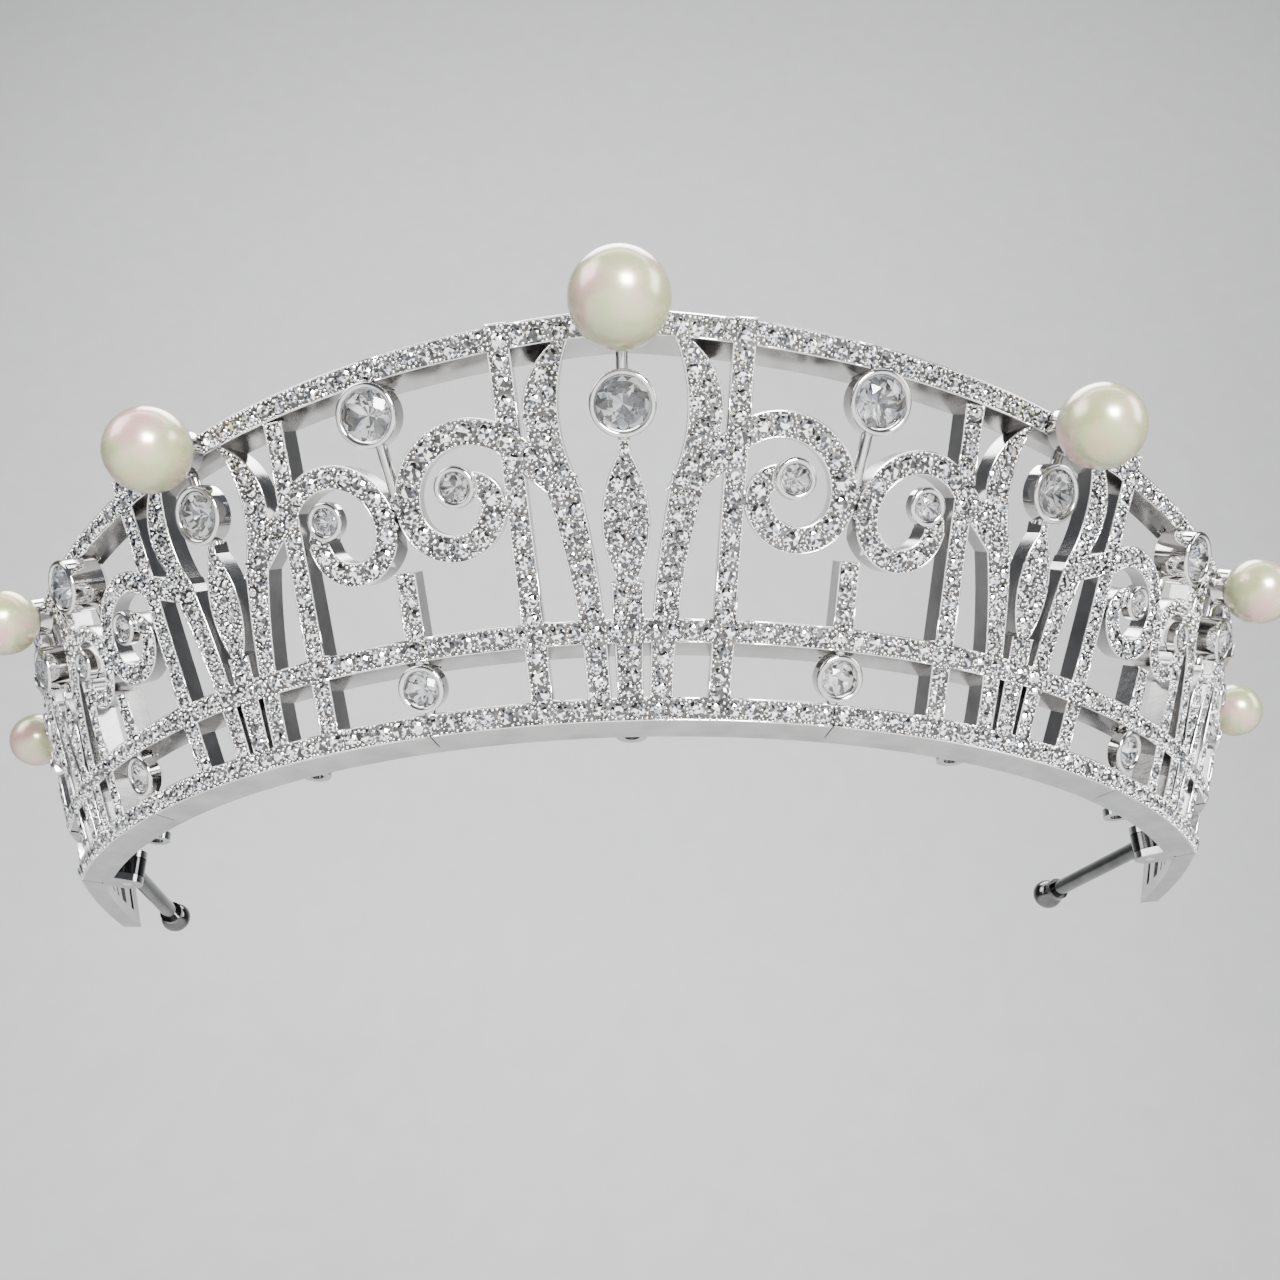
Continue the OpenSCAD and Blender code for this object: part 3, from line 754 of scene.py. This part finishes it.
def chains(edges):
    """Edges joined end to end into runs, broken at sharp corners."""
    links = {}
    for edge in edges:
        for vertex in edge.verts:
            links.setdefault(vertex, []).append(edge)
    waiting = set(edges)

    def follow(vertex, edge):
        run = []
        while True:
            options = [e for e in links[vertex] if e in waiting]
            if len(links[vertex]) != 2 or not options:
                return run
            step = options[0]
            before = (vertex.co - edge.other_vert(vertex).co).normalized()
            after = (step.other_vert(vertex).co - vertex.co).normalized()
            if before.dot(after) < math.cos(math.radians(CORNER_DEGREES)):
                return run
            waiting.discard(step)
            vertex, edge = step.other_vert(vertex), step
            run.append(vertex)

    for edge in edges:
        if edge not in waiting:
            continue
        waiting.discard(edge)
        first, second = edge.verts
        yield list(reversed(follow(first, edge))) + [first, second] + follow(second, edge)


def add_rims(panel):
    """A thin bright-cut rim along every edge of the panel's front face, in the lighter silver that
    paints a highlight along the edge.
    """
    front = set(panel.front)
    sides = RIM_SIDES
    radius = RIM_RADIUS * MM
    vertices = []
    faces = []
    for run in chains(panel.edges):
        length = sum((a.co - b.co).length for a, b in zip(run, run[1:]))
        if length < SHORTEST_RIM * MM:
            continue
        start = len(vertices)
        for j, vertex in enumerate(run):
            along = (run[min(j + 1, len(run) - 1)].co - run[max(j - 1, 0)].co).normalized()
            out = sum((f.normal for f in vertex.link_faces if f in front), Vector()).normalized()
            across = along.cross(out).normalized()
            inward = (f.calc_center_median() - vertex.co for f in vertex.link_faces if f in front)
            inner = sum(inward, Vector((0, 0, 0)))
            across *= 1 if across.dot(inner) > 0 else -1
            centre = vertex.co + across * radius * RIM_INSET
            for step in range(sides):
                turn = 2 * math.pi * step / sides
                vertices.append(centre + radius * (math.cos(turn) * across + math.sin(turn) * out))
        for j in range(len(run) - 1):
            for step in range(sides):
                a = start + j * sides + step
                b = start + j * sides + (step + 1) % sides
                faces.append((a, b, b + sides, a + sides))
        faces.append(tuple(start + step for step in range(sides)))
        faces.append(tuple(start + (len(run) - 1) * sides + step for step in reversed(range(sides))))
    return mesh_object("bright_rim_" + panel.name, vertices, faces, PAINTED_HIGHLIGHT_SILVER, smooth=True)


def build_pave():
    chance = random.Random(SEED + 1)
    panels = [Panel(name) for name in PANELS]
    set_pave(panels)
    for number, panel in enumerate(panels):
        places = [
            frame_from(point + normal * STONE_LIFT * MM, normal, chance.uniform(0, math.pi))
            @ Matrix.Scale(size, 4)
            for point, normal, size in panel.stones
        ]
        stones = add_copies("pave_stones_" + panel.name, brilliant_cut(), places, PAVE_PAINTED_FACETS, SEED + number)
        ride_as(stones)
        places = [
            frame_from(point, normal, chance.uniform(0, math.pi)) @ Matrix.Scale(size, 4)
            for point, normal, size in panel.beads
        ]
        ride_as(add_copies("pave_beads_" + panel.name, bead_shape(), places, PAINTED_HIGHLIGHT_SILVER))
        ride_as(add_rims(panel))
        print(panel.name, len(panel.stones), "stones", len(panel.beads), "beads")


# ---------------------------------------------------------------- larger stones and pearls

def turned_place(island):
    """Where a turned stone stands: a matrix with z out along its axis, scaled to its diameter."""
    points = np.array([v.co for v in island])
    centre = points.mean(0)
    spreads, directions = np.linalg.eigh(np.cov((points - centre).T))
    axis = directions[:, 0]
    if Vector(axis).dot(Panel.outward(Vector(centre))) < 0:
        axis = -axis
    heights = (points - centre) @ axis
    radii = np.linalg.norm(points - centre - np.outer(heights, axis), axis=1)
    girdle = heights[radii > 0.985 * radii.max()].max()
    turn = Matrix.Scale(2 * radii.max(), 4)
    return frame_from(Vector(centre + girdle * axis), Vector(axis)) @ turn


def add_gems(name, places, seed):
    """Cut stones with a clear crown over a pavilion whose facets are painted bright and dark."""
    points, faces = full_brilliant()
    gems = add_copies(name, (points, faces), places, CLEAR, seed)
    gems.data.materials.append(GEM_PAINTED_FACETS)
    for number, polygon in enumerate(gems.data.polygons):
        polygon.material_index = 1 if number % len(faces) >= FULL_CROWN_FACES else 0
    return gems


def build_gems():
    """Each plain turned stone of the CAD model is replaced by a faceted one in the same place."""
    names = sorted(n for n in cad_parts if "stone" in n)
    for number, node in enumerate(names):
        copy = welded(node)
        places = [turned_place(island) for island in islands(copy)]
        copy.free()
        name = "brilliant_" + node.replace("_stone", "")
        gems = ride_as(add_gems(name, places, SEED + number))
        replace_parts(gems, node)


def build_pearls():
    """Cultured pearls, almost round and faintly wavy, in place of the true balls."""
    names = sorted(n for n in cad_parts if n.startswith("pearl_") and "cup" not in n)
    for number, node in enumerate(names):
        low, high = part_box(node)
        centre = (low + high) / 2
        radius = (high.x - low.x) / 2
        ball = bmesh.new()
        bmesh.ops.create_icosphere(ball, subdivisions=6, radius=1)
        offset = Vector((number, 0, 0)) * 9
        for vertex in ball.verts:
            wave = noise.noise(vertex.co * 1.6 + offset) * 0.6
            wave += noise.noise(vertex.co * 5 + offset) * 0.15
            vertex.co = centre + vertex.co * radius * (0.997 + 0.006 * wave)
        mesh = bpy.data.meshes.new(node)
        ball.to_mesh(mesh)
        ball.free()
        mesh.shade_smooth()
        mesh.materials.append(PEARL)
        piece = bpy.data.objects.new("nacre_" + node, mesh)
        bpy.context.scene.collection.objects.link(piece)
        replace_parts(ride_as(piece), node)


def dress_frame():
    """Materials for the CAD nodes that stay as they are."""
    looks = (
        ("panel_", PAVE_GROUND_PAINTED_SHADE), ("base_band", PAINTED_DARK_BAND_SILVER), ("sewing_loops", PAINTED_DARK_BAND_SILVER), ("back_arm", PAINTED_DARK_REFLECTION_SILVER),
        ("hinge_pin", SILVER), ("pearl_cup", SILVER), ("drop_setting", SILVER),
        ("crest_setting", SILVER), ("scroll_settings", SILVER), ("foot_settings", SILVER),
    )
    for name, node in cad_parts.items():
        for start, material in looks:
            if name.startswith(start):
                for place in node.material_slots:
                    place.material = material


# ---------------------------------------------------------------- stage, light and camera

def build_stage():
    """A pale paper sweep below and behind the tiara."""
    paper = matte_material("pale_paper", grey(0.7), grey(0.74))
    floor_z, wall_y, bend, half_width = -0.12, 0.6, 0.35, 5
    profile = [(-5, floor_z), (wall_y, floor_z)]
    profile += [
        (wall_y + bend * math.sin(a), floor_z + bend * (1 - math.cos(a)))
        for a in (math.pi / 2 * j / 12 for j in range(1, 13))
    ]
    profile.append((wall_y + bend, 2.5))
    vertices = [Vector((x, y, z)) for y, z in profile for x in (-half_width, half_width)]
    faces = [(2 * j, 2 * j + 1, 2 * j + 3, 2 * j + 2) for j in range(len(profile) - 1)]
    mesh_object("studio_sweep", vertices, faces, paper, smooth=True)


def add_light(name, place, target, size, power, spread=80):
    data = bpy.data.lights.new(name, "AREA")
    data.shape = "RECTANGLE"
    data.size, data.size_y = size
    data.energy = power
    data.spread = math.radians(spread)
    light = bpy.data.objects.new(name, data)
    light.location = place
    light.rotation_euler = (Vector(target) - Vector(place)).to_track_quat("-Z", "Y").to_euler()
    bpy.context.scene.collection.objects.link(light)


def build_lights():
    world = bpy.data.worlds.new("studio")
    world.use_nodes = True
    background = world.node_tree.nodes["Background"]
    background.inputs["Color"].default_value = (0.75, 0.8, 0.9, 1)
    background.inputs["Strength"].default_value = 0.2
    bpy.context.scene.world = world
    middle = (0, -0.02, 0.015)
    add_light("window_light", (0.2, -0.72, 0.02), middle, (0.26, 0.26), 5)
    add_light("left_softbox", (-0.65, -0.35, 0.5), middle, (0.5, 0.6), 1.8)
    add_light("right_softbox", (0.75, -0.2, 0.3), middle, (0.3, 0.6), 1.2)
    add_light("top_softbox", (0.0, 0.15, 0.8), middle, (0.7, 0.35), 3)
    add_light("back_wash", (0, -0.3, 1.1), (0, 0.95, 0.9), (1.6, 0.4), 19, 160)


def build_camera():
    """From in front and below, looking up at the frame's leaning face."""
    data = bpy.data.cameras.new("camera")
    data.lens = CAMERA_LENS
    data.sensor_width = 36
    data.clip_start = 0.005
    camera = bpy.data.objects.new("camera", data)
    look = Vector(CAMERA_LOOK).normalized()
    right = look.cross(Vector(CAMERA_UP)).normalized()
    turn = Matrix((right, right.cross(look), -look)).transposed().to_4x4()
    camera.matrix_world = Matrix.Translation(CAMERA_PLACE) @ turn
    bpy.context.scene.collection.objects.link(camera)
    bpy.context.scene.camera = camera


build_camera()
build_pave()
build_gems()
build_pearls()
dress_frame()
build_stage()
build_lights()
